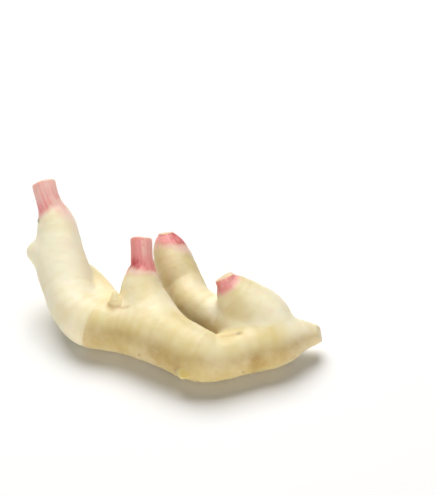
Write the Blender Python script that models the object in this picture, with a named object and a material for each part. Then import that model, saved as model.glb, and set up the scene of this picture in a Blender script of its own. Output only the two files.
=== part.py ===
"""A hand of young ginger root: one solid that grew as one piece, lying as it would on a table.

A stout main rhizome runs from its broken end on the right to the left, where it turns up into a finger.
Three more fingers and a knob branch back from it. Each finger ends in the cut stub of a leafy shoot.

+X runs along the main rhizome towards its broken end, +Y runs back towards the fingers' tips and +Z is up.
The origin is under the middle of the hand, on the table. Tables are in millimetres, the model in metres.
"""

import math

import bmesh
import bpy
import numpy as np
from mathutils import Matrix, Vector

MM = 0.001

# Stations along each limb, oldest end first: x, y and z of its centre line, then its radius.
# Those of a finger start inside the limb that it grows from. Beyond a cut, they run on into the cutter.
MAIN_RHIZOME = [
    (80, -18.5, 10.5, 3),
    (74, -19.5, 11, 4.3),
    (69, -20.5, 11.5, 6.2),
    (62, -22.5, 12, 8.5),
    (52, -27.6, 11.5, 11.2),
    (39, -32, 11.8, 11.2),
    (21, -38.2, 12.2, 11.7),
    (12, -36.3, 13.5, 13.3),
    (0, -29, 14.3, 13.5),
    (-11, -23, 14.2, 13.5),
    (-22, -18, 13, 12.5),
    (-33, -15, 12, 12),
    (-42.5, -12, 12.8, 12.8),
    (-49.5, -5, 16, 12.5),
    (-53.5, 3.5, 20, 12.3),
    (-56.5, 13.5, 25, 13.3),
    (-58.5, 20, 30, 12.8),
    (-59, 24.5, 35, 11.5),
    (-59.5, 28.5, 39, 10.5),
    (-60.7, 32, 43, 9),
    (-62.5, 35, 46.5, 7.2),
    (-64.5, 38.5, 50.5, 6.2),
    (-66, 42, 54, 6),
    (-69, 51.5, 62, 6.3),
]
MIDDLE_FINGER = [
    (-3, -22.5, 15, 12),
    (-12, -9.5, 18, 13),
    (-15.3, -2.5, 24, 10.5),
    (-15.5, 2.5, 29, 8.5),
    (-15, 5.5, 32.5, 6.5),
    (-15.5, 9.5, 37, 5.7),
    (-16, 19.5, 48, 5.3),
]
LONG_FINGER = [
    (44, -24.5, 12, 9),
    (35, -18, 13.2, 11.3),
    (24, -9, 11.6, 10.3),
    (11.7, 3.7, 10.3, 10.2),
    (6.3, 15.5, 12, 10.3),
    (1.7, 23.5, 16.5, 10.5),
    (-1, 29.5, 21, 9.5),
    (-2.8, 33.2, 24.3, 7.7),
    (-3.5, 35.7, 27.5, 4.8),
    (-5, 39.2, 33, 3.8),
]
SHORT_FINGER = [
    (52, -23.5, 14, 8.5),
    (47, -15.5, 17.5, 13),
    (39, -11.5, 22.5, 12.3),
    (32.5, -8.5, 28, 9.5),
    (28, -6.5, 33.5, 5.7),
    (25, -3.5, 40, 5),
]
SIDE_KNOB = [
    (-31, -9.5, 14, 9),
    (-35, 0.5, 14, 8.3),
    (-39.5, 10.5, 14.5, 7.4),
    (-45, 18.5, 15.5, 6.7),
]

# Each limb with how far along its centre line the scars are that its scale leaves left, ringing it.
LIMBS = [
    (MAIN_RHIZOME, (25, 47, 69, 92, 113, 133, 151, 168, 181, 191)),
    (MIDDLE_FINGER, (17, 26, 34)),
    (LONG_FINGER, (20, 34, 46, 56, 66, 75, 82)),
    (SHORT_FINGER, (19, 29, 36)),
    (SIDE_KNOB, (13, 22)),
]

# Buds sit on the limbs and keep a crisp foot, so they are blended in less widely.
BUDS = [
    [(-63, 17.5, 31, 7), (-70, 19.5, 31, 5), (-73, 20.5, 31, 3)],
    [(-29, -12.5, 21.5, 4), (-29, -11, 25.3, 3.1), (-29.2, -10.2, 28, 1.6)],
    [(7, -41.5, 13, 5), (6, -45.8, 11.5, 3.7), (5.3, -47.1, 11, 3)],
    [(-56.5, 27, 32, 5.5), (-52.5, 31, 29, 3.8), (-50.5, 33.5, 28, 2.2)],
    [(-1, 24.5, 16, 6), (-6, 28, 15.5, 3.6), (-8.5, 30, 16.5, 2)],
    [(42, -6.5, 20, 7), (46, -1, 19, 4.5), (48.5, 2, 19, 2.6)],
]
LIMB_BLEND = 2.0
BUD_BLEND = 0.8

# At a scar the skin steps down. It swells up to the step and recovers beyond it.
STEP_HEIGHT = 0.35
STEP_LENGTH = 0.7
SWELL_LENGTH = 5.0
RECOVERY_LENGTH = 2.5
SCAR_WANDER = 1.2
LUMP_HEIGHT = 0.3
LUMP_LENGTH = 6.0

# Each cut is a plane: a point on it and the way it faces. The last one is the table that the hand lies on.
CUTTER_SIZE = 24.0
TABLE_SIZE = 400.0
CUTS = [
    ((74.7, -19.5, 11), (0.95, 0.0, 0.3), CUTTER_SIZE),
    ((-67, 45.5, 57.2), (-0.25, 0.72, 0.64), CUTTER_SIZE),
    ((-16, 16, 44.5), (0.0, 0.72, 0.68), CUTTER_SIZE),
    ((-4.5, 37.5, 30), (-0.15, 0.55, 0.8), CUTTER_SIZE),
    ((26.5, -4.5, 36.5), (-0.4, 0.5, 0.77), CUTTER_SIZE),
    ((0, 0, 0), (0, 0, -1), TABLE_SIZE),
]

SAMPLE_STEP = 1.0
TUBE_ROUNDNESS = 4
ROUND_END = 0.7
SKIN_VOXEL = 1.0
SETTLING_ROUNDS = 4
POINTS_AT_ONCE = 2000
SKIN_TRIANGLES = 11000

SKIN_COLOUR = (0.82, 0.68, 0.42, 1)
SKIN_ROUGHNESS = 0.45


def clear_scene():
    for obj in list(bpy.data.objects):
        bpy.data.objects.remove(obj)


def centre_line(stations):
    """Points about SAMPLE_STEP apart on a Catmull-Rom curve through the stations, each x, y, z and radius."""
    known = np.array(stations, float)
    ends = np.vstack([2 * known[0] - known[1], known, 2 * known[-1] - known[-2]])
    points = []
    for a, b, c, d in zip(ends, ends[1:], ends[2:], ends[3:]):
        steps = max(2, math.ceil(np.linalg.norm((c - b)[:3]) / SAMPLE_STEP))
        t = np.linspace(0, 1, steps, endpoint=False)[:, None]
        points.append(
            0.5 * (2 * b + (c - a) * t + (2 * a - 5 * b + 4 * c - d) * t**2 + (3 * b - a - 3 * c + d) * t**3)
        )
    return np.vstack([*points, known[-1:]])


def nearest_on(line, points):
    """How far each point is outside the limb, the way out of it, and how far along the limb it is."""
    offsets = points[:, None, :] - line[None, :, :3]
    reaches = np.linalg.norm(offsets, axis=2)
    nearest = np.argmin(reaches - line[:, 3], axis=1)
    rows = np.arange(len(points))
    reach = reaches[rows, nearest]
    out = offsets[rows, nearest] / reach[:, None]
    steps = np.diff(line[:, :3], axis=0)
    lengths = np.linalg.norm(steps, axis=1)
    arc = np.concatenate([[0], np.cumsum(lengths)])
    tangent = np.vstack([steps, steps[-1:]]) / np.append(lengths, lengths[-1])[:, None]
    along = arc[nearest] + (offsets[rows, nearest] * tangent[nearest]).sum(axis=1)
    return reach - line[nearest, 3], out, along


def blended(gaps, outs, width):
    """The smooth union of several distances, the way out of it, and each one's share in it."""
    gaps = np.array(gaps)
    lowest = gaps.min(axis=0)
    shares = np.exp((lowest - gaps) / width)
    total = shares.sum(axis=0)
    out = (shares[:, :, None] * np.array(outs)).sum(axis=0)
    return lowest - width * np.log(total), out / np.linalg.norm(out, axis=1)[:, None], shares / total


def waves(points):
    """A smooth value from -1 to 1 that wanders over the hand: three waves of lengths that never line up."""
    x, y, z = points.T / LUMP_LENGTH
    first = np.sin(x + 1.7 * np.sin(0.6 * y))
    second = np.sin(1.1 * y + 1.5 * np.sin(0.7 * z))
    third = np.sin(1.3 * z + x)
    return (first + second + third) / 3


def scar_steps(along, scars):
    """Height of the skin as it swells up to each scar and steps down past it."""
    height = np.zeros_like(along)
    for scar in scars:
        past = along - scar
        before = 1 / (1 + np.exp(past / STEP_LENGTH))
        height += before * np.exp(np.minimum(past, 0) / SWELL_LENGTH)
        height -= (1 - before) * np.exp(-np.maximum(past, 0) / RECOVERY_LENGTH)
    return STEP_HEIGHT * height


def skin_gap(points, limbs, buds):
    """How far each point is outside the ginger's skin, and the way out."""
    wander = waves(points)
    found = [nearest_on(line, points) for line, _ in limbs]
    gap, out, shares = blended([f[0] for f in found], [f[1] for f in found], LIMB_BLEND)
    for (_, _, along), (_, scars), share in zip(found, limbs, shares):
        gap = gap - share * scar_steps(along + SCAR_WANDER * wander, scars)
    found = [nearest_on(line, points) for line in buds]
    gap, out, _ = blended([gap] + [f[0] for f in found], [out] + [f[1] for f in found], BUD_BLEND)
    return gap - LUMP_HEIGHT * wander, out


def with_room_for_end(line):
    """The line with one more point, so that the tube has faces to draw over the limb's round end."""
    way = line[-1, :3] - line[-2, :3]
    reach = ROUND_END * line[-1, 3]
    return np.vstack([line, [*(line[-1, :3] + reach * way / np.linalg.norm(way)), reach]])


def tapered_tubes(lines):
    """One curve object with a round tube along each line, as thick as its radii say."""
    curve = bpy.data.curves.new("limbs", "CURVE")
    curve.dimensions = "3D"
    curve.bevel_depth = MM
    curve.bevel_resolution = TUBE_ROUNDNESS
    curve.use_fill_caps = True
    for line in map(with_room_for_end, lines):
        spline = curve.splines.new("POLY")
        spline.points.add(len(line) - 1)
        for point, (x, y, z, radius) in zip(spline.points, line):
            point.co = (x * MM, y * MM, z * MM, 1)
            point.radius = radius
    obj = bpy.data.objects.new("limbs", curve)
    bpy.context.collection.objects.link(obj)
    return obj


def evaluated_mesh(obj):
    bpy.context.view_layer.update()
    return bpy.data.meshes.new_from_object(obj.evaluated_get(bpy.context.evaluated_depsgraph_get()))


def one_skin(lines):
    """The tubes remeshed as one closed skin of small, even faces."""
    tubes = tapered_tubes(lines)
    rough = bpy.data.objects.new("rough_skin", evaluated_mesh(tubes))
    bpy.context.collection.objects.link(rough)
    remesh = rough.modifiers.new("one_skin", "REMESH")
    remesh.mode = "VOXEL"
    remesh.voxel_size = SKIN_VOXEL * MM
    mesh = evaluated_mesh(rough)
    for helper in (tubes, rough):
        bpy.data.objects.remove(helper)
    return mesh


def neighbour_mean(points, edges):
    total = np.zeros_like(points)
    count = np.zeros(len(points))
    for here, there in ((edges[:, 0], edges[:, 1]), (edges[:, 1], edges[:, 0])):
        np.add.at(total, here, points[there])
        np.add.at(count, here, 1)
    return total / count[:, None]


def settle(mesh, limbs, buds):
    """Evens out the faces and draws every point of the mesh onto the ginger's skin."""
    points = np.empty(len(mesh.vertices) * 3)
    mesh.vertices.foreach_get("co", points)
    points = points.reshape(-1, 3) / MM
    edges = np.empty(len(mesh.edges) * 2, int)
    mesh.edges.foreach_get("vertices", edges)
    edges = edges.reshape(-1, 2)
    for _ in range(SETTLING_ROUNDS):
        points = (points + neighbour_mean(points, edges)) / 2
        for block in np.array_split(np.arange(len(points)), 1 + len(points) // POINTS_AT_ONCE):
            gap, out = skin_gap(points[block], limbs, buds)
            points[block] -= gap[:, None] * out
    mesh.vertices.foreach_set("co", (points * MM).ravel())
    mesh.update()


def cutter(name, point, facing, size):
    """A cube with one face on the cut, so that it takes away what is beyond it."""
    mesh = bpy.data.meshes.new(name)
    shape = bmesh.new()
    bmesh.ops.create_cube(shape, size=size * MM, matrix=Matrix.Translation((0, 0, size * MM / 2)))
    shape.to_mesh(mesh)
    shape.free()
    obj = bpy.data.objects.new(name, mesh)
    obj.location = Vector(point) * MM
    obj.rotation_mode = "QUATERNION"
    obj.rotation_quaternion = Vector(facing).to_track_quat("Z", "Y")
    obj.hide_render = True
    obj.display_type = "WIRE"
    bpy.context.collection.objects.link(obj)
    return obj


def ginger_skin():
    material = bpy.data.materials.new("ginger_skin")
    material.use_nodes = True
    shader = material.node_tree.nodes["Principled BSDF"]
    shader.inputs["Base Color"].default_value = SKIN_COLOUR
    shader.inputs["Roughness"].default_value = SKIN_ROUGHNESS
    return material


def build_hand():
    limbs = [(centre_line(stations), scars) for stations, scars in LIMBS]
    buds = [centre_line(stations) for stations in BUDS]
    mesh = one_skin([line for line, _ in limbs] + buds)
    settle(mesh, limbs, buds)
    mesh.materials.append(ginger_skin())
    mesh.shade_smooth()
    hand = bpy.data.objects.new("rhizome", mesh)
    bpy.context.collection.objects.link(hand)
    decimate = hand.modifiers.new("fewer_faces", "DECIMATE")
    decimate.ratio = SKIN_TRIANGLES / (2 * len(mesh.polygons))
    for number, (point, facing, size) in enumerate(CUTS, 1):
        cut = hand.modifiers.new(f"cut_{number}", "BOOLEAN")
        cut.operation = "DIFFERENCE"
        # The exact solver keeps a whole cutter here, where the creases between limbs leave folded faces.
        cut.solver = "MANIFOLD"
        cut.object = cutter(f"cutter_{number}", point, facing, size)


clear_scene()
build_hand()
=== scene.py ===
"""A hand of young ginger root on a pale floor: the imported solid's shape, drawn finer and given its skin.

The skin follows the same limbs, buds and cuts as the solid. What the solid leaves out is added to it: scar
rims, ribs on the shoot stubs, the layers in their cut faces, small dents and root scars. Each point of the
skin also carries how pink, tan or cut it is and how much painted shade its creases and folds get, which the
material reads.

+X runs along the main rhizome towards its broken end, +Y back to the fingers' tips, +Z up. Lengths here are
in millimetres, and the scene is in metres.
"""

import math

import bpy
import numpy as np
from mathutils import Matrix, Vector, noise

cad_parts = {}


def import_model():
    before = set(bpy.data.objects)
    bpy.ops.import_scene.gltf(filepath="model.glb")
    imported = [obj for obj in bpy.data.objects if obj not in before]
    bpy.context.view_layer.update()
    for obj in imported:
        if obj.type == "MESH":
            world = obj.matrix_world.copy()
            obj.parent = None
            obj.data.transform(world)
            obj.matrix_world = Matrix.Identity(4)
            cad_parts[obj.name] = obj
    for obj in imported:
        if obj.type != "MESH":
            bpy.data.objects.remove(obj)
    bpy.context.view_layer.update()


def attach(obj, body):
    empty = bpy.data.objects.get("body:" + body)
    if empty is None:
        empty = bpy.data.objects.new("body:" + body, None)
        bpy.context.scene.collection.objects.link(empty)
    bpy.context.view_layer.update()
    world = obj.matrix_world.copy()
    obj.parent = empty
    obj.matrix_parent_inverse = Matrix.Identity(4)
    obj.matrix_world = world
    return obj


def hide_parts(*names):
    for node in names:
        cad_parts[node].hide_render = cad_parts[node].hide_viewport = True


MM = 0.001

# The camera looks down at 40 degrees from straight in front of the hand.
CAMERA_PLACE = (23.0, -570.5, 530.3)
CAMERA_AIM = (23.0, 61.5, 0.0)
CAMERA_LENS = 109.09
SENSOR_HEIGHT = 36.0

# A softbox above and behind the hand, and a low reflector in front: place, width, height, and watts.
LIGHTS = {
    "softbox": ((-190, 1070, 1680), 1700, 1400, 53.0),
    "low_reflector": ((300, -1900, 320), 3000, 500, 31.0),
}
LIGHT_AIM = (0, 0, 20)
LIGHT_COLOUR = (1.0, 0.99, 0.975)
SKY_COLOUR = (1.0, 0.99, 0.97, 1)
SKY_STRENGTH = 0.09
FLOOR_SIZE = 5000

# Stations along each limb, oldest end first: x, y and z of its centre line, then its radius.
MAIN_RHIZOME = [
    (80, -18.5, 10.5, 3),
    (74, -19.5, 11, 4.3),
    (69, -20.5, 11.5, 6.2),
    (62, -22.5, 12, 8.5),
    (52, -27.6, 11.5, 11.2),
    (39, -32, 11.8, 11.2),
    (21, -38.2, 12.2, 11.7),
    (12, -36.3, 13.5, 13.3),
    (0, -29, 14.3, 13.5),
    (-11, -23, 14.2, 13.5),
    (-22, -18, 13, 12.5),
    (-33, -15, 12, 12),
    (-42.5, -12, 12.8, 12.8),
    (-49.5, -5, 16, 12.5),
    (-53.5, 3.5, 20, 12.3),
    (-56.5, 13.5, 25, 13.3),
    (-58.5, 20, 30, 12.8),
    (-59, 24.5, 35, 11.5),
    (-59.5, 28.5, 39, 10.5),
    (-60.7, 32, 43, 9),
    (-62.5, 35, 46.5, 7.2),
    (-64.5, 38.5, 50.5, 6.2),
    (-66, 42, 54, 6),
    (-69, 51.5, 62, 6.3),
]
MIDDLE_FINGER = [
    (-3, -22.5, 15, 12),
    (-12, -9.5, 18, 13),
    (-15.3, -2.5, 24, 10.5),
    (-15.5, 2.5, 29, 8.5),
    (-15, 5.5, 32.5, 6.5),
    (-15.5, 9.5, 37, 5.7),
    (-16, 19.5, 48, 5.3),
]
LONG_FINGER = [
    (44, -24.5, 12, 9),
    (35, -18, 13.2, 11.3),
    (24, -9, 11.6, 10.3),
    (11.7, 3.7, 10.3, 10.2),
    (6.3, 15.5, 12, 10.3),
    (1.7, 23.5, 16.5, 10.5),
    (-1, 29.5, 21, 9.5),
    (-2.8, 33.2, 24.3, 7.7),
    (-3.5, 35.7, 27.5, 4.8),
    (-5, 39.2, 33, 3.8),
]
SHORT_FINGER = [
    (52, -23.5, 14, 8.5),
    (47, -15.5, 17.5, 13),
    (39, -11.5, 22.5, 12.3),
    (32.5, -8.5, 28, 9.5),
    (28, -6.5, 33.5, 5.7),
    (25, -3.5, 40, 5),
]
SIDE_KNOB = [
    (-31, -9.5, 14, 9),
    (-35, 0.5, 14, 8.3),
    (-39.5, 10.5, 14.5, 7.4),
    (-45, 18.5, 15.5, 6.7),
]

# Each limb's scars: how far along its centre line one is, and how brown the skin just before it is.
MAIN_SCARS = [
    (25, 0.22),
    (47, 0.92),
    (69, 0.25),
    (92, 0.68),
    (113, 0.3),
    (128.5, 0.6),
    (151, 0.12),
    (168, 0.15),
    (181, 0.12),
    (191, 0.05),
]
MIDDLE_SCARS = [(17, 0.3), (26, 0.25), (34, 0.1)]
# On the long finger the brown grows towards its tip, partly as tan and partly as a painted shadow over its
# upper half; near its foot it stays faint, painted light against the shade of the crevice beside the short
# finger.
LONG_SCARS = [(20, 0.06), (34, 0.12), (46, 0.2), (56, 0.3), (66, 0.4), (75, 0.25), (82, 0.1)]
SHORT_SCARS = [(19, 0.2), (29, 0.25), (36, 0.1)]
KNOB_SCARS = [(13, 0.35), (22, 0.45)]

# The limbs, which are known by their number in this list.
LIMBS = [
    (MAIN_RHIZOME, MAIN_SCARS),
    (MIDDLE_FINGER, MIDDLE_SCARS),
    (LONG_FINGER, LONG_SCARS),
    (SHORT_FINGER, SHORT_SCARS),
    (SIDE_KNOB, KNOB_SCARS),
]
MAIN = 0

# How far along the main rhizome its end that turns up, the left finger, begins.
LEFT_FINGER_START = 129.0

# Buds sit on the limbs and keep a crisp foot, so they are blended in less widely.
BUDS = [
    [(-62, 18, 31, 9), (-67.5, 20, 31, 6.9), (-70.7, 21, 30.9, 4.7)],
    [(-28.3, -13.5, 22.8, 3.4), (-28.4, -11.2, 26.2, 2.7), (-28.6, -9, 29, 1.4)],
    [(8, -41.5, 13.5, 5), (7, -45.4, 12.4, 4.2), (6.5, -47.3, 11.8, 3.6)],
    [(-56.5, 27, 32, 5.5), (-52.5, 31, 29, 3.8), (-50.5, 33.5, 28, 2.2)],
    [(-1, 24.5, 16, 6), (-6, 28, 15.5, 3.6), (-8.5, 30, 16.5, 2)],
    [(42, -6.5, 20, 7), (46, -1, 19, 4.5), (48.5, 2, 19, 2.6)],
]
LIMB_BLEND = 2.0
BUD_BLEND = 0.8

# At a scar the skin steps down. It swells up to the step and recovers beyond it.
STEP_HEIGHT = 0.16
STEP_LENGTH = 0.8
SWELL_LENGTH = 5.0
RECOVERY_LENGTH = 2.5
SCAR_WANDER = 1.2
LUMP_HEIGHT = 0.3
LUMP_LENGTH = 6.0

# Each cut is a plane: a point on it and the way it faces. The first one is the broken end.
CUTS = [
    ((74.7, -19.5, 11), (0.95, 0.0, 0.3)),
    ((-67, 45.5, 57.2), (-0.25, 0.72, 0.64)),
    ((-16, 16, 44.5), (0.0, 0.72, 0.68)),
    ((-4.5, 37.5, 30), (-0.15, 0.55, 0.8)),
    ((26.5, -4.5, 36.5), (-0.4, 0.5, 0.77)),
]
CUT_REACH = 13.0
CUT_ROUNDING = 0.25
OUT_OF_REACH = 1000.0
TORN_EDGE = 0.45
TORN_FINENESS = 2.4

# The table cuts the hand off level where it rests.
TABLE_PLACE = (0.0, 0.0, 0.0)
TABLE_FACING = (0.0, 0.0, -1.0)

# How finely the mesh is drawn, and the sides of the cubes that cut it.
SAMPLE_STEP = 1.0
TUBE_ROUNDNESS = 6
ROUND_END = 0.7
ROUGH_VOXEL = 1.0
SKIN_VOXEL = 0.62
CUTTER_SIZE = 24.0
TABLE_SIZE = 400.0
SETTLING_ROUNDS = 4
POINTS_AT_ONCE = 8000

# A power of e beyond this is as good as nothing or endless.
FURTHEST_POWER = 50

# Smooth noise: how strong it is, how long its lumps are, and a shift that keeps it unlike the others.
DENTS = (0.15, 4.2, 0.0)
SMALL_DENTS = (0.0525, 1.89, 4.0)
RIBS = (0.16, 1.0, 0.0)
TORN_FLESH = (0.15, 1.3, 2.0)
LAYER_WANDER = (0.9, 4.0, 7.0)
SCALE_WANDER = (0.4, 2.0, 9.0)
RIM_PATCHES = (1.0, 9.0, 3.0)
TAN_WANDER = (2.2, 7.0, 1.0)
TAN_PATCHES = (0.22, 11.0, 8.0)
SHOOT_WANDER = (0.8, 1.0, 5.0)
BANDS = (1.0, 1.0, 6.0)

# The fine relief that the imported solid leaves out.
RIM_HEIGHT = 0.04
RIM_WIDTH = 0.75
LAYER_HEIGHT = 0.14
LAYER_SPACING = 1.7
FOLD_DEPTH = 0.35
FOLD_WIDTH = 1.05

# Folds in the skin, dented and darkened with painted shade: points along each one.
FOLDS = [
    [
        (-32.4, -13.2, 25.1),
        (-29.7, -15.3, 25.5),
        (-27.2, -15.8, 25.4),
        (-24.7, -16.4, 25.9),
        (-22.1, -16.7, 26.9),
    ],
    [(25.2, -33.6, 23.0), (29.2, -32.8, 22.9), (32.8, -31.8, 22.9)],
]

# Small marks: where one is, how wide and how high it is (a dent is below 0), how dark, and how yellow.
MARKS = [
    ((33.6, -31.3, 22.9), 1.3, -0.5, 0.35, 0.0),
    ((-68.6, 29.3, 45.0), 1.3, 0.7, 0.9, 0.0),
    ((7.1, -50.4, 13.3), 2.4, 0.0, 0.0, 1.0),
]

# Root scars are strewn over skin that faces down at least this much, between these two heights.
ROOT_SCARS = 34
ROOT_SCAR_WIDTH = 1.2
ROOT_SCAR_HEIGHT = 0.3
ROOT_SCAR_SEED = 7
ROOT_SCAR_FACING = -0.15
ROOT_SCARS_BETWEEN = (1.0, 16.0)

# A rim shows where one limb alone shapes the skin and no bud does, as their shares in it tell. It fades in
# patches, and is faint on the left finger.
RIM_LIMB_SHARE = (0.6, 0.85)
RIM_BUD_SHARE = (0.2, 0.6)
RIM_PATCH_EDGE = (-0.35, 0.35)
RIM_FAINTEST = 0.35
LEFT_FINGER_RIM = 0.35

# The tan reaches back from a scar and has a soft edge at it. It is strongest on the flanks. The skin on top
# and at the bottom has these shares of it, and the main rhizome's flanks are brown all along.
TAN_LENGTH = 21.0
TAN_EDGE = 2.1
TAN_MEAN = 0.85
FLANK_BELOW_TOP = (0.92, 0.4)
FLANK_ABOVE_BOTTOM = (-0.6, 0.1)
TOP_TAN = 0.12
BOTTOM_TAN = 0.5
OLD_BROWN = 0.34

# How yellow each limb's skin is at some places along it. It changes evenly between two of them, and is then
# evened out over the mesh in this many rounds.
YELLOWNESS = [
    [
        (26.9, 0.3),
        (27.0, 0.74),
        (LEFT_FINGER_START - 0.1, 0.74),
        (LEFT_FINGER_START, 0.36),
        (160.0, 0.04),
    ],
    [(0.0, 0.48)],
    # The long finger turns yellower towards its tip, partly as a painted shadow over its upper half, and is
    # paler at its foot as painted light against the crevice's shade.
    [(25.0, 0.2), (50.0, 0.64)],
    [(12.0, 0.25), (26.0, 0.48)],
    [(0.0, 0.52)],
]
YELLOWNESS_ROUNDS = 30

# Each limb's shoot, in the order of the limbs; the knob has none. How far along the limb its pink begins,
# how far that edge runs askew, how deep the pink is at its foot and further up, the way the side with its
# painted highlight faces (the pink is paler there), how far the blush reaches below the pink, and how much
# further on the side that faces +X.
SHOOTS = [
    (198.5, (3.5, 0, 0), 0.36, 0.1, (0.85, -0.4, 0.35), 4.0, 22.0),
    (36.5, (0, 0, 0), 0.88, 0.42, (0.8, -0.45, 0.4), 5.0, 0.0),
    (79.5, (-3, 0, 0), 0.75, 0.85, (-0.8, -0.4, 0.45), 5.0, 6.0),
    (36.0, (0, 0, 0), 0.6, 0.5, (0.5, -0.6, 0.6), 3.0, 0.0),
]

# How soft the pink's edge is and how many lumps it has, and between which places past it the depth changes.
PINK_EDGE = 1.3
EDGE_LUMPS_AROUND = 2.5
SHOOT_DEPTH_CHANGE = (2.0, 11.0)

# A shoot's painted highlight, a paler side: how squarely a point has to face its way, and how much paler it
# is.
HIGHLIGHT_FACING = (0.0, 0.9)
HIGHLIGHT_PALENESS = 0.42

# The shoots' ribs follow how far round and, more slowly, how far along a shoot a point is.
RIBS_AROUND = 5.5
RIBS_ALONG = (0.05, 0.04, 0.03)

# Faint bands round each limb: how long they are, and how fast they change around it.
BAND_LENGTH = 3.2
BANDS_AROUND = 0.7

# How yellow-brown each bud's tip is, and how much painted shade darkens the crease round its foot. The
# tip's colour comes in between these two places along the bud.
BUD_TIPS = np.array([0.1, 0.0, 0.3, 0.35, 0.35, 0.35])
BUD_FOOT_SHADE = np.array([0.0, 1.0, 0.8, 0.4, 0.4, 0.4])
BUD_TIP_REACH = (1.5, 6.0)

# The shares in the skin that a bud has at its foot, where its own looks begin, and where its scales begin.
FOOT_SHARE = 0.4
FOOT_WIDTH = 0.16
BUD_SHARE = (0.5, 0.95)
SCALED_SHARE = (0.6, 0.95)
SCALE_HEIGHT = 0.09
SCALE_SPACING = 2.4

# A crease, which gets painted shade, is where the skin lies this far below the same skin evened out.
CREASE_DEPTH = (0.12, 0.75)
CREASE_ROUNDS = 40


def centre_line(stations):
    """Points about SAMPLE_STEP apart on a Catmull-Rom curve through the stations, with their radius."""
    known = np.array(stations, float)
    ends = np.vstack([2 * known[0] - known[1], known, 2 * known[-1] - known[-2]])
    points = []
    for a, b, c, d in zip(ends, ends[1:], ends[2:], ends[3:]):
        steps = max(2, math.ceil(np.linalg.norm((c - b)[:3]) / SAMPLE_STEP))
        t = np.linspace(0, 1, steps, endpoint=False)[:, None]
        square = (2 * a - 5 * b + 4 * c - d) * t**2
        cube = (3 * b - a - 3 * c + d) * t**3
        points.append(0.5 * (2 * b + (c - a) * t + square + cube))
    return np.vstack([*points, known[-1:]])


def nearest_on(line, points):
    """How far each point is outside the limb, the way out of it, and how far along the limb it is."""
    centres = line[:, :3]
    squares = (points**2).sum(axis=1)[:, None] + (centres**2).sum(axis=1) - 2 * points @ centres.T
    nearest = np.argmin(np.sqrt(np.maximum(squares, 0)) - line[:, 3], axis=1)
    offsets = points - centres[nearest]
    reach = np.linalg.norm(offsets, axis=1)
    steps = np.diff(centres, axis=0)
    lengths = np.linalg.norm(steps, axis=1)
    arc = np.concatenate([[0], np.cumsum(lengths)])
    tangent = np.vstack([steps, steps[-1:]]) / np.append(lengths, lengths[-1])[:, None]
    along = arc[nearest] + (offsets * tangent[nearest]).sum(axis=1)
    return reach - line[nearest, 3], offsets / reach[:, None], along


def blended(gaps, outs, width):
    """The smooth union of several distances, the way out of it, and each one's share in it."""
    gaps = np.array(gaps)
    lowest = gaps.min(axis=0)
    shares = np.exp((lowest - gaps) / width)
    total = shares.sum(axis=0)
    out = (shares[:, :, None] * np.array(outs)).sum(axis=0)
    return lowest - width * np.log(total), out / np.linalg.norm(out, axis=1)[:, None], shares / total


def waves(points):
    """A smooth value from -1 to 1 that wanders over the hand: three waves of lengths that never line up."""
    x, y, z = points.T / LUMP_LENGTH
    first = np.sin(x + 1.7 * np.sin(0.6 * y))
    second = np.sin(1.1 * y + 1.5 * np.sin(0.7 * z))
    third = np.sin(1.3 * z + x)
    return (first + second + third) / 3


def before(past, width):
    """1 well before 0 and 0 well past it, with a soft edge of about this width."""
    return 1 / (1 + np.exp(np.clip(past / width, -FURTHEST_POWER, FURTHEST_POWER)))


def ramp(value, start, end):
    """0 up to start and 1 from end on, with a smooth rise between them. The end may be the lower one."""
    t = np.clip((value - start) / (end - start), 0, 1)
    return t * t * (3 - 2 * t)


def peak(distance, width):
    """1 at no distance, falling off smoothly on both sides."""
    return np.exp(-((distance / width) ** 2))


def mottle(points, pattern):
    """Smooth noise over the points, as strong either way as the pattern says."""
    strength, length, shift = pattern
    return strength * np.array([noise.noise(Vector(p)) for p in points / length + shift])


def scar_steps(along, scars):
    """Height of the skin as it swells up to each scar and steps down past it."""
    height = np.zeros_like(along)
    for scar, _ in scars:
        past = along - scar
        swollen = before(past, STEP_LENGTH)
        height += swollen * np.exp(np.minimum(past, 0) / SWELL_LENGTH)
        height -= (1 - swollen) * np.exp(-np.maximum(past, 0) / RECOVERY_LENGTH)
    return STEP_HEIGHT * height


def survey(points, hand):
    """How far each point is outside the uncut skin and the way out, with where on the hand it is.

    That is the limb and the bud with the most share in the skin there, their shares, and how far along them
    the point is.
    """
    limbs, buds = hand
    wander = waves(points)
    gaps, outs, alongs = zip(*(nearest_on(line, points) for line, _ in limbs))
    gap, limb_out, limb_shares = blended(gaps, outs, LIMB_BLEND)
    alongs = np.array(alongs) + SCAR_WANDER * wander
    for along, (_, scars), share in zip(alongs, limbs, limb_shares):
        gap = gap - share * scar_steps(along, scars)
    gaps, outs, bud_alongs = zip(*(nearest_on(line, points) for line in buds))
    gap, out, shares = blended([gap, *gaps], [limb_out, *outs], BUD_BLEND)
    rows = np.arange(len(points))
    limb = limb_shares.argmax(axis=0)
    bud = shares[1:].argmax(axis=0)
    return {
        "gap": gap - LUMP_HEIGHT * wander,
        "out": out,
        "limb": limb,
        "limb_share": limb_shares.max(axis=0),
        "limb_out": limb_out,
        "along": alongs[limb, rows],
        "bud": bud,
        "bud_share": 1 - shares[0],
        "bud_along": np.array(bud_alongs)[bud, rows],
    }


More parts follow.
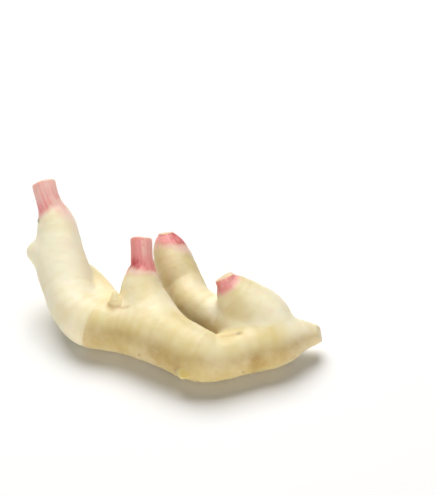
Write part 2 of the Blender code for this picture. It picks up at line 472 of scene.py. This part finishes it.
def cut_skin(points, gap, out):
    """The skin's distance with the cuts and table taken off, the way out, and each cut's share in it."""
    gaps = [-gap]
    outs = [out]
    for place, facing in CUTS:
        away = points - np.array(place)
        way = np.array(facing) / np.linalg.norm(facing)
        beyond = away @ way + TORN_EDGE * waves(TORN_FINENESS * points)
        near = np.linalg.norm(away, axis=1) < CUT_REACH
        gaps.append(np.where(near, -beyond, OUT_OF_REACH))
        outs.append(np.broadcast_to(way, points.shape))
    gaps.append(points[:, 2])
    outs.append(np.broadcast_to(TABLE_FACING, points.shape))
    gap, out, shares = blended(gaps, outs, CUT_ROUNDING)
    return -gap, out, shares[1:-1]


def with_room_for_end(line):
    """The line with one more point, so that the tube has faces to draw over the limb's round end."""
    way = line[-1, :3] - line[-2, :3]
    reach = ROUND_END * line[-1, 3]
    return np.vstack([line, [*(line[-1, :3] + reach * way / np.linalg.norm(way)), reach]])


def shown(name, data):
    """A new object in the scene."""
    obj = bpy.data.objects.new(name, data)
    bpy.context.scene.collection.objects.link(obj)
    return obj


def tapered_tubes(lines):
    """One curve object with a round tube along each line, as thick as its radii say."""
    curve = bpy.data.curves.new("limbs", "CURVE")
    curve.dimensions = "3D"
    curve.bevel_depth = MM
    curve.bevel_resolution = TUBE_ROUNDNESS
    curve.use_fill_caps = True
    for line in map(with_room_for_end, lines):
        spline = curve.splines.new("POLY")
        spline.points.add(len(line) - 1)
        for point, (x, y, z, radius) in zip(spline.points, line):
            point.co = (x * MM, y * MM, z * MM, 1)
            point.radius = radius
    return shown("limbs", curve)


def evaluated_mesh(obj):
    """The object's mesh with its modifiers applied."""
    bpy.context.view_layer.update()
    return bpy.data.meshes.new_from_object(obj.evaluated_get(bpy.context.evaluated_depsgraph_get()))


def cutter(place, facing, size):
    """A cube with one face on the cut, so that it takes away what is beyond it."""
    side = size * MM
    points = [(x * side / 2, y * side / 2, z * side) for z in (0, 1) for y in (-1, 1) for x in (-1, 1)]
    faces = [(0, 2, 3, 1), (4, 5, 7, 6), (0, 1, 5, 4), (2, 6, 7, 3), (0, 4, 6, 2), (1, 3, 7, 5)]
    mesh = bpy.data.meshes.new("cutter")
    mesh.from_pydata(points, [], faces)
    turn = Vector(facing).to_track_quat("Z", "Y").to_matrix().to_4x4()
    mesh.transform(Matrix.Translation(Vector(place) * MM) @ turn)
    return shown("cutter", mesh)


def add_remesh(obj, voxel):
    remesh = obj.modifiers.new("even_faces", "REMESH")
    remesh.mode = "VOXEL"
    remesh.voxel_size = voxel * MM


def add_cut(obj, place, facing, size):
    cut = obj.modifiers.new("cut", "BOOLEAN")
    cut.operation = "DIFFERENCE"
    cut.solver = "MANIFOLD"
    cut.object = cutter(place, facing, size)
    return cut.object


def one_skin(lines):
    """The tubes remeshed as one closed skin, cut, and remeshed again in small, even faces."""
    tubes = tapered_tubes(lines)
    rough = shown("rough_skin", evaluated_mesh(tubes))
    add_remesh(rough, ROUGH_VOXEL)
    cutters = [add_cut(rough, place, facing, CUTTER_SIZE) for place, facing in CUTS]
    cutters.append(add_cut(rough, TABLE_PLACE, TABLE_FACING, TABLE_SIZE))
    add_remesh(rough, SKIN_VOXEL)
    mesh = evaluated_mesh(rough)
    for helper in (tubes, rough, *cutters):
        bpy.data.objects.remove(helper)
    return mesh


def points_of(mesh):
    """The mesh's points, in millimetres."""
    points = np.empty(len(mesh.vertices) * 3)
    mesh.vertices.foreach_get("co", points)
    return points.reshape(-1, 3) / MM


def move_points(mesh, points):
    """Puts the mesh's points at these places, in millimetres."""
    mesh.vertices.foreach_set("co", (points * MM).ravel())
    mesh.update()


def edges_of(mesh):
    """The numbers of the two points that each edge joins."""
    edges = np.empty(len(mesh.edges) * 2, int)
    mesh.edges.foreach_get("vertices", edges)
    return edges.reshape(-1, 2)


def blocks_of(count):
    """The numbers below count in blocks, because a survey of all points at once takes too much memory."""
    return np.array_split(np.arange(count), 1 + count // POINTS_AT_ONCE)


def neighbour_mean(values, edges):
    """The mean of the values at each point's neighbours."""
    count = np.bincount(edges.ravel(), minlength=len(values))
    total = np.empty_like(values)
    for column in range(values.shape[1]):
        one = values[:, column]
        total[:, column] = np.bincount(edges[:, 0], one[edges[:, 1]], len(values))
        total[:, column] += np.bincount(edges[:, 1], one[edges[:, 0]], len(values))
    return total / count[:, None]


def spread(values, edges, rounds):
    """The values evened out over the mesh."""
    values = np.array(values, float).reshape(len(values), -1)
    for _ in range(rounds):
        values = (values + neighbour_mean(values, edges)) / 2
    return values


def settle(mesh, hand):
    """Evens out the faces and draws every point of the mesh onto the ginger's skin."""
    points = points_of(mesh)
    edges = edges_of(mesh)
    for _ in range(SETTLING_ROUNDS):
        points = spread(points, edges, 1)
        for block in blocks_of(len(points)):
            here = survey(points[block], hand)
            gap, out, _ = cut_skin(points[block], here["gap"], here["out"])
            points[block] -= gap[:, None] * out
    move_points(mesh, points)


def where_on(mesh, hand):
    """The survey of every point of the mesh, with the cuts' shares in it and its normal."""
    points = points_of(mesh)
    surveys = []
    for block in blocks_of(len(points)):
        here = survey(points[block], hand)
        _, _, shares = cut_skin(points[block], here["gap"], here["out"])
        here["cut"] = shares.T
        surveys.append(here)
    found = {name: np.concatenate([here[name] for here in surveys]) for name in surveys[0]}
    normals = np.empty(len(points) * 3)
    mesh.vertices.foreach_get("normal", normals)
    found["normal"] = normals.reshape(-1, 3)
    found["point"] = points
    return found


def scars_on(found):
    """For each scar: which points are on its limb, how far past it each is, and how brown it is."""
    for number, (_, scars) in enumerate(LIMBS):
        mine = found["limb"] == number
        for scar, brown in scars:
            yield mine, found["along"] - scar, brown


def scar_rims(found):
    """1 on each scar's line, 0 away from it."""
    lines = np.zeros(len(found["along"]))
    for mine, past, _ in scars_on(found):
        lines += mine * peak(past, RIM_WIDTH)
    held = ramp(found["limb_share"], *RIM_LIMB_SHARE) * (1 - ramp(found["bud_share"], *RIM_BUD_SHARE))
    patches = ramp(mottle(found["point"], RIM_PATCHES), *RIM_PATCH_EDGE)
    left = (found["limb"] == MAIN) & (found["along"] > LEFT_FINGER_START)
    strength = (RIM_FAINTEST + (1 - RIM_FAINTEST) * patches) * np.where(left, LEFT_FINGER_RIM, 1.0)
    return lines * held * strength


def browning(found):
    """How tan the skin is: most just before a scar, and more on the flanks than on top."""
    brown = np.zeros(len(found["along"]))
    wander = mottle(found["point"], TAN_WANDER)
    for mine, past, strength in scars_on(found):
        past = past + wander
        brown += mine * strength * before(past, TAN_EDGE) * np.exp(np.minimum(past, 0) / TAN_LENGTH)
    upward = found["normal"][:, 2]
    above_bottom = BOTTOM_TAN + (1 - BOTTOM_TAN) * ramp(upward, *FLANK_ABOVE_BOTTOM)
    flank = ramp(upward, *FLANK_BELOW_TOP) * above_bottom
    old = (found["limb"] == MAIN) & (found["along"] < LEFT_FINGER_START)
    patches = TAN_MEAN + mottle(found["point"], TAN_PATCHES)
    return np.clip((brown * (TOP_TAN + (1 - TOP_TAN) * flank) + OLD_BROWN * old * flank) * patches, 0, 1)


def shoot_pinks(found):
    """How pink each point is, how much blush it has below the pink, and how deep the pink is, less deep on
    the side given a painted highlight.
    """
    out = found["limb_out"]
    pink, blush, deep = np.zeros((3, len(out)))
    wander = mottle(out * EDGE_LUMPS_AROUND, SHOOT_WANDER)
    for number, (start, askew, at_foot, above, highlight_side, reach, further) in enumerate(SHOOTS):
        mine = found["limb"] == number
        past = found["along"] - start - out @ np.array(askew, float) - wander
        pink += mine * ramp(past, -PINK_EDGE, PINK_EDGE)
        blush += mine * ramp(past, -(reach + further * np.clip(out[:, 0], 0, 1)), PINK_EDGE)
        depth = at_foot + (above - at_foot) * ramp(past, *SHOOT_DEPTH_CHANGE)
        # Painted highlight: the pink is paler on the side that faces the highlight's way.
        deep += mine * depth * (1 - HIGHLIGHT_PALENESS * ramp(out @ np.array(highlight_side, float), *HIGHLIGHT_FACING))
    return pink, blush * (1 - pink), deep


def root_scars(found):
    """How far each point is from the nearest of the strewn root scars, in widths of a scar."""
    chance = np.random.default_rng(ROOT_SCAR_SEED)
    point = found["point"]
    low, high = ROOT_SCARS_BETWEEN
    facing_down = found["normal"][:, 2] < ROOT_SCAR_FACING
    fit = facing_down & (point[:, 2] > low) & (point[:, 2] < high) & (found["limb"] == MAIN)
    sites = point[chance.choice(np.flatnonzero(fit), ROOT_SCARS, replace=False)]
    distance = np.linalg.norm(point[:, None, :] - sites[None, :, :], axis=2).min(axis=1)
    return distance / ROOT_SCAR_WIDTH


def fold_lines(points):
    """1 on each fold, 0 away from it."""
    nearest = np.full(len(points), np.inf)
    for line in FOLDS:
        for start, end in zip(np.array(line), np.array(line[1:])):
            step = end - start
            part = np.clip((points - start) @ step / (step @ step), 0, 1)
            nearest = np.minimum(nearest, np.linalg.norm(points - start - part[:, None] * step, axis=1))
    return peak(nearest, FOLD_WIDTH)


def small_marks(points):
    """How high, how dark and how yellow the small marks make each point."""
    rise, dark, yellow = np.zeros((3, len(points)))
    for place, width, height, darkness, yellowness in MARKS:
        distance = np.linalg.norm(points - np.array(place), axis=1)
        rise += height * peak(distance, width)
        dark += darkness * peak(distance, width)
        yellow += yellowness * peak(distance**2, width**2)
    return rise, np.clip(dark, 0, 1), np.clip(yellow, 0, 1)


def cut_offsets(found):
    """The way to each point from the middle of the cut with the most share in the skin there."""
    centres = np.array([place for place, _ in CUTS], float)
    return found["point"] - centres[found["cut"].argmax(axis=1)]


def yellows(found, edges):
    """How yellow each point is before any clouds and bands, evened out where limbs meet."""
    yellow = np.zeros(len(found["along"]))
    for number, known in enumerate(YELLOWNESS):
        mine = found["limb"] == number
        places, amounts = zip(*known)
        yellow[mine] = np.interp(found["along"][mine], places, amounts)
    return spread(yellow, edges, YELLOWNESS_ROUNDS)[:, 0]


def looks_of(found, edges):
    """The values that the material reads at each point."""
    point = found["point"]
    flesh = found["cut"].sum(axis=1)
    pink, blush, deep = shoot_pinks(found)
    hollow = ((spread(point, edges, CREASE_ROUNDS) - point) * found["normal"]).sum(axis=1)
    _, scab, spot = small_marks(point)
    on_bud = ramp(found["bud_share"], *BUD_SHARE)
    bud_tip = on_bud * ramp(found["bud_along"], *BUD_TIP_REACH) * BUD_TIPS[found["bud"]]
    # Painted shade round each bud's foot, added to the painted shade along the folds.
    foot_shade = BUD_FOOT_SHADE[found["bud"]] * peak(found["bud_share"] - FOOT_SHARE, FOOT_WIDTH)
    around = np.column_stack([found["along"] / BAND_LENGTH, found["limb_out"][:, ::2] * BANDS_AROUND])
    return {
        "pink": pink * (1 - on_bud),
        "blush": blush * (1 - on_bud),
        "deep": deep,
        "tan": browning(found) * (1 - on_bud),
        "rim": scar_rims(found) * (1 - flesh),
        "flesh": flesh,
        "cut_offset": cut_offsets(found),
        "wander": mottle(point, LAYER_WANDER),
        "yellow": yellows(found, edges),
        # Painted shade: these two values darken hollows, folds and the feet of buds in the material.
        "crease_shade": ramp(hollow, *CREASE_DEPTH),
        "fold_shade": np.clip(foot_shade + fold_lines(point), 0, 1),
        "bud_tip": np.clip(bud_tip + spot, 0, 1),
        "band": mottle(around, BANDS),
        "grain": found["limb_out"] * RIBS_AROUND + found["along"][:, None] * np.array(RIBS_ALONG),
        "scab": scab,
        "root_scar": root_scars(found),
    }


def relief(found, looks):
    """Height of the fine relief above the settled skin."""
    point = found["point"]
    skin = 1 - looks["flesh"]
    height = (mottle(point, DENTS) + mottle(point, SMALL_DENTS)) * skin
    height += RIM_HEIGHT * looks["rim"] - FOLD_DEPTH * fold_lines(point)
    height += mottle(looks["grain"], RIBS) * looks["pink"] * skin
    across = np.linalg.norm(looks["cut_offset"], axis=1) + looks["wander"]
    layers = LAYER_HEIGHT * np.cos(2 * np.pi * across / LAYER_SPACING)
    height += looks["flesh"] * (layers + mottle(point, TORN_FLESH))
    height += ROOT_SCAR_HEIGHT * peak(looks["root_scar"], 1)
    rise, _, spot = small_marks(point)
    scales = np.cos(2 * np.pi * (found["bud_along"] + mottle(point, SCALE_WANDER)) / SCALE_SPACING)
    height += SCALE_HEIGHT * scales * ramp(found["bud_share"], *SCALED_SHARE) * (1 - spot)
    return height + rise


def displace(mesh, found, height):
    """Moves each point of the mesh out by its height, but nothing below the table."""
    points = found["point"] + height[:, None] * found["normal"]
    points[:, 2] = np.maximum(points[:, 2], 0)
    move_points(mesh, points)


def give(mesh, name, values):
    """Stores a number or a vector at each point, for the material."""
    kind, field = ("FLOAT", "value") if values.ndim == 1 else ("FLOAT_VECTOR", "vector")
    attribute = mesh.attributes.new(name, kind, "POINT")
    attribute.data.foreach_set(field, np.ascontiguousarray(values, np.float32).ravel())


def srgb(red, green, blue):
    """The linear colour of an 8-bit screen colour."""
    parts = [value / 255 for value in (red, green, blue)]
    return (*[p / 12.92 if p <= 0.04045 else ((p + 0.055) / 1.055) ** 2.4 for p in parts], 1)


CREAM = srgb(247, 240, 213)
YELLOW = srgb(225, 208, 149)
BROWN = srgb(178, 147, 83)
RIM_BROWN = srgb(179, 141, 90)
BLUSH_PINK = srgb(238, 195, 185)
SALMON = srgb(238, 195, 185)
ROSE = srgb(233, 151, 147)
WINE = srgb(196, 83, 88)
FLESH = srgb(233, 217, 183)
FLESH_RING = srgb(210, 151, 140)
# The brown of the painted shade in creases and folds.
SHADE_BROWN = srgb(202, 166, 111)
BUD_BROWN = srgb(198, 176, 98)
SCAB_BROWN = srgb(138, 105, 68)

# Noise in the skin: lumps to a metre (for STREAKS, to a unit of the grain), octaves, and their roughness.
CLOUDS = (55, 3, 0.5)
BLOTCHES = (210, 4, 0.6)
RIM_FLECKS = (700, 3, 0.6)
STREAKS = (1.1, 3, 0.6)
FIBRES = (900, 2, 0.7)
GLOSS_PATCHES = (500, 3, 0.6)
PORES = (1400, 3, 0.6)
DIMPLES = (420, 3, 0.55)

# The part of a noise's values that counts, from low to high, and what it gives.
NOISE_SPAN = (0.3, 0.7)
CLOUD_YELLOWNESS = (-0.22, 0.22)
BLOTCH_TAN = (0.84, 1.1)
RIM_STRENGTH = (0.03, 0.2)
SKIN_ROUGHNESS = (0.38, 0.52)
BLUSH_SPAN = (0.3, 0.65)
BLUSH_STRENGTH = (0.7, 1.4)
DEPTH_SPAN = (0.32, 0.68)
DEPTH_CHANGE = (0.18, -0.18)
FIBRE_SPAN = (0.35, 0.65)
FIBRE_YELLOWNESS = (0.0, 0.5)

# The pink is salmon where its depth is 0, rose here, and wine where it is 1.
ROSE_DEPTH = 0.5

# The pink rings in a cut shoot: the span of a layer's wave over which one comes in, and its strength.
RING_SPAN = (-0.2, 0.9)
RING_STRENGTH = (0.08, 0.42)

# A root scar fades from its middle outwards, over this many scar widths.
ROOT_SCAR_SPAN = (0.35, 1.1)
ROOT_SCAR_STRENGTH = (0.75, 0.0)

BAND_YELLOWNESS = 0.22
# How strong the painted shade is in creases and in folds.
CREASE_SHADE_STRENGTH = 0.12
FOLD_SHADE_STRENGTH = 0.45

# The skin's finest relief, which is too small for the mesh.
PORE_DEPTH = 0.05
DIMPLE_DEPTH = 0.12
THREAD_DEPTH = 0.2

SKIN_SURFACE = {
    "Specular IOR Level": 0.42,
    "Subsurface Weight": 0.4,
    "Subsurface Radius": (1.0, 0.5, 0.22),
    "Subsurface Scale": 5 * MM,
}
FLOOR_SURFACE = {"Base Color": (0.93, 0.93, 0.93, 1), "Roughness": 0.7, "Specular IOR Level": 0.2}

# The colour sockets of the Mix node, which shares its socket names among its kinds of value.
MIX_FIRST = 6
MIX_SECOND = 7
MIX_RESULT = 2


class Shading:
    """Builds one material's node tree from short calls."""

    def __init__(self, name):
        self.material = bpy.data.materials.new(name)
        self.material.use_nodes = True
        self.tree = self.material.node_tree

    def put(self, value, socket):
        """Links an output to the socket, or sets the socket to a value."""
        if isinstance(value, bpy.types.NodeSocket):
            self.tree.links.new(value, socket)
        else:
            socket.default_value = value

    def surface(self, values):
        """Puts each value on the shader's socket of that name."""
        shader = self.tree.nodes["Principled BSDF"]
        for name, value in values.items():
            self.put(value, shader.inputs[name])

    def place(self):
        return self.tree.nodes.new("ShaderNodeTexCoord").outputs["Object"]

    def attribute(self, name, output="Fac"):
        node = self.tree.nodes.new("ShaderNodeAttribute")
        node.attribute_name = name
        return node.outputs[output]

    def length(self, vector):
        node = self.tree.nodes.new("ShaderNodeVectorMath")
        node.operation = "LENGTH"
        self.put(vector, node.inputs[0])
        return node.outputs["Value"]

    def noise(self, pattern, vector):
        node = self.tree.nodes.new("ShaderNodeTexNoise")
        for value, name in zip((*pattern, vector), ("Scale", "Detail", "Roughness", "Vector")):
            self.put(value, node.inputs[name])
        return node.outputs["Fac"]

    def math(self, operation, *values):
        node = self.tree.nodes.new("ShaderNodeMath")
        node.operation = operation
        for value, socket in zip(values, node.inputs):
            self.put(value, socket)
        return node.outputs[0]

    def scaled(self, value, factor):
        return self.math("MULTIPLY", value, factor)

    def ranged(self, value, span, result=(0.0, 1.0)):
        """The value taken smoothly from one span of values to another."""
        node = self.tree.nodes.new("ShaderNodeMapRange")
        node.interpolation_type = "SMOOTHSTEP"
        names = ("Value", "From Min", "From Max", "To Min", "To Max")
        for entry, name in zip((value, *span, *result), names):
            self.put(entry, node.inputs[name])
        return node.outputs["Result"]

    def mix(self, share, first, second):
        node = self.tree.nodes.new("ShaderNodeMix")
        node.data_type = "RGBA"
        self.put(share, node.inputs["Factor"])
        self.put(first, node.inputs[MIX_FIRST])
        self.put(second, node.inputs[MIX_SECOND])
        return node.outputs[MIX_RESULT]

    def bump(self, height, depth, below=None):
        """The normal with this relief added to the one below it."""
        node = self.tree.nodes.new("ShaderNodeBump")
        node.inputs["Distance"].default_value = depth * MM
        self.put(height, node.inputs["Height"])
        if below is not None:
            self.put(below, node.inputs["Normal"])
        return node.outputs["Normal"]


def plain_skin(paint, place):
    """Cream to yellow in clouds and bands, tan before each scar, painted shade in creases and folds, and
    brown on scar rims.
    """
    clouds = paint.ranged(paint.noise(CLOUDS, place), NOISE_SPAN, CLOUD_YELLOWNESS)
    bands = paint.scaled(paint.attribute("band"), BAND_YELLOWNESS)
    yellowness = paint.math("ADD", paint.math("ADD", paint.attribute("yellow"), clouds), bands)
    colour = paint.mix(yellowness, CREAM, YELLOW)
    blotches = paint.ranged(paint.noise(BLOTCHES, place), NOISE_SPAN, BLOTCH_TAN)
    colour = paint.mix(paint.scaled(paint.attribute("tan"), blotches), colour, BROWN)
    # Painted shade: creases, folds and bud feet are darkened towards brown.
    colour = paint.mix(paint.scaled(paint.attribute("crease_shade"), CREASE_SHADE_STRENGTH), colour, SHADE_BROWN)
    colour = paint.mix(paint.scaled(paint.attribute("fold_shade"), FOLD_SHADE_STRENGTH), colour, SHADE_BROWN)
    flecks = paint.ranged(paint.noise(RIM_FLECKS, place), NOISE_SPAN, RIM_STRENGTH)
    return paint.mix(paint.scaled(paint.attribute("rim"), flecks), colour, RIM_BROWN)


def with_shoots(paint, colour, streaks):
    """The colour with blush and pink shoots over it, deeper in streaks along them."""
    blushing = paint.scaled(paint.attribute("blush"), paint.ranged(streaks, BLUSH_SPAN, BLUSH_STRENGTH))
    colour = paint.mix(blushing, colour, BLUSH_PINK)
    deep = paint.math("ADD", paint.attribute("deep"), paint.ranged(streaks, DEPTH_SPAN, DEPTH_CHANGE))
    pink = paint.mix(paint.ranged(deep, (0.0, ROSE_DEPTH)), SALMON, ROSE)
    pink = paint.mix(paint.ranged(deep, (ROSE_DEPTH, 1.0)), pink, WINE)
    return paint.mix(paint.attribute("pink"), colour, pink)


def cut_flesh(paint, place):
    """Pale fibres, with a pink ring for each layer where a shoot is cut."""
    offset = paint.length(paint.attribute("cut_offset", "Vector"))
    across = paint.math("ADD", offset, paint.attribute("wander"))
    layers = paint.math("COSINE", paint.scaled(across, 2 * math.pi / LAYER_SPACING))
    rings = paint.scaled(paint.ranged(layers, RING_SPAN, RING_STRENGTH), paint.attribute("pink"))
    fibres = paint.ranged(paint.noise(FIBRES, place), FIBRE_SPAN, FIBRE_YELLOWNESS)
    return paint.mix(rings, paint.mix(fibres, FLESH, YELLOW), FLESH_RING)


def ginger_skin():
    """Thin satin skin, pink on the shoots and open where it is cut."""
    paint = Shading("ginger_skin")
    place = paint.place()
    streaks = paint.noise(STREAKS, paint.attribute("grain", "Vector"))

    colour = with_shoots(paint, plain_skin(paint, place), streaks)
    colour = paint.mix(paint.attribute("bud_tip"), colour, BUD_BROWN)
    colour = paint.mix(paint.attribute("flesh"), colour, cut_flesh(paint, place))
    roots = paint.ranged(paint.attribute("root_scar"), ROOT_SCAR_SPAN, ROOT_SCAR_STRENGTH)
    colour = paint.mix(roots, colour, RIM_BROWN)
    colour = paint.mix(paint.attribute("scab"), colour, SCAB_BROWN)

    roughness = paint.ranged(paint.noise(GLOSS_PATCHES, place), NOISE_SPAN, SKIN_ROUGHNESS)
    pores = paint.bump(paint.noise(PORES, place), PORE_DEPTH)
    dimples = paint.bump(paint.noise(DIMPLES, place), DIMPLE_DEPTH, pores)
    threads = paint.bump(paint.scaled(streaks, paint.attribute("pink")), THREAD_DEPTH, dimples)
    paint.surface({"Base Color": colour, "Roughness": roughness, "Normal": threads, **SKIN_SURFACE})
    return paint.material


def pale_floor():
    """Matt, nearly white."""
    paint = Shading("pale_floor")
    paint.surface(FLOOR_SURFACE)
    return paint.material


def floor():
    half = FLOOR_SIZE / 2 * MM
    mesh = bpy.data.meshes.new("floor")
    points = [(-half, -half, 0), (half, -half, 0), (half, half, 0), (-half, half, 0)]
    mesh.from_pydata(points, [], [(0, 1, 2, 3)])
    mesh.materials.append(pale_floor())
    shown("floor", mesh)


def ginger_hand():
    """The whole hand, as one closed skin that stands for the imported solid."""
    limbs = [(centre_line(stations), scars) for stations, scars in LIMBS]
    buds = [centre_line(stations) for stations in BUDS]
    hand = (limbs, buds)
    mesh = one_skin([line for line, _ in limbs] + buds)
    mesh.name = "ginger_hand"
    settle(mesh, hand)
    found = where_on(mesh, hand)
    looks = looks_of(found, edges_of(mesh))
    displace(mesh, found, relief(found, looks))
    for name, values in looks.items():
        give(mesh, name, values)
    mesh.materials.clear()
    mesh.materials.append(ginger_skin())
    mesh.shade_smooth()
    piece = shown("ginger_hand", mesh)
    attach(piece, "root")
    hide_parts("rhizome")


def aimed(name, data, place, aim):
    """A new light or camera that looks from its place towards the aim."""
    obj = shown(name, data)
    obj.location = Vector(place) * MM
    obj.rotation_euler = (Vector(aim) * MM - obj.location).to_track_quat("-Z", "Y").to_euler()
    return obj


def studio():
    """Soft light from a faint sky, the softbox and the reflector."""
    world = bpy.data.worlds.new("studio")
    world.use_nodes = True
    sky = world.node_tree.nodes["Background"]
    sky.inputs["Color"].default_value = SKY_COLOUR
    sky.inputs["Strength"].default_value = SKY_STRENGTH
    bpy.context.scene.world = world
    bpy.context.scene.view_settings.view_transform = "Standard"
    for name, (place, width, height, watts) in LIGHTS.items():
        light = bpy.data.lights.new(name, "AREA")
        light.shape = "RECTANGLE"
        light.size = width * MM
        light.size_y = height * MM
        light.energy = watts
        light.color = LIGHT_COLOUR
        aimed(name, light, place, LIGHT_AIM)


def camera():
    data = bpy.data.cameras.new("camera")
    data.sensor_fit = "VERTICAL"
    data.sensor_height = SENSOR_HEIGHT
    data.lens = CAMERA_LENS
    bpy.context.scene.camera = aimed("camera", data, CAMERA_PLACE, CAMERA_AIM)


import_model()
camera()
ginger_hand()
floor()
studio()
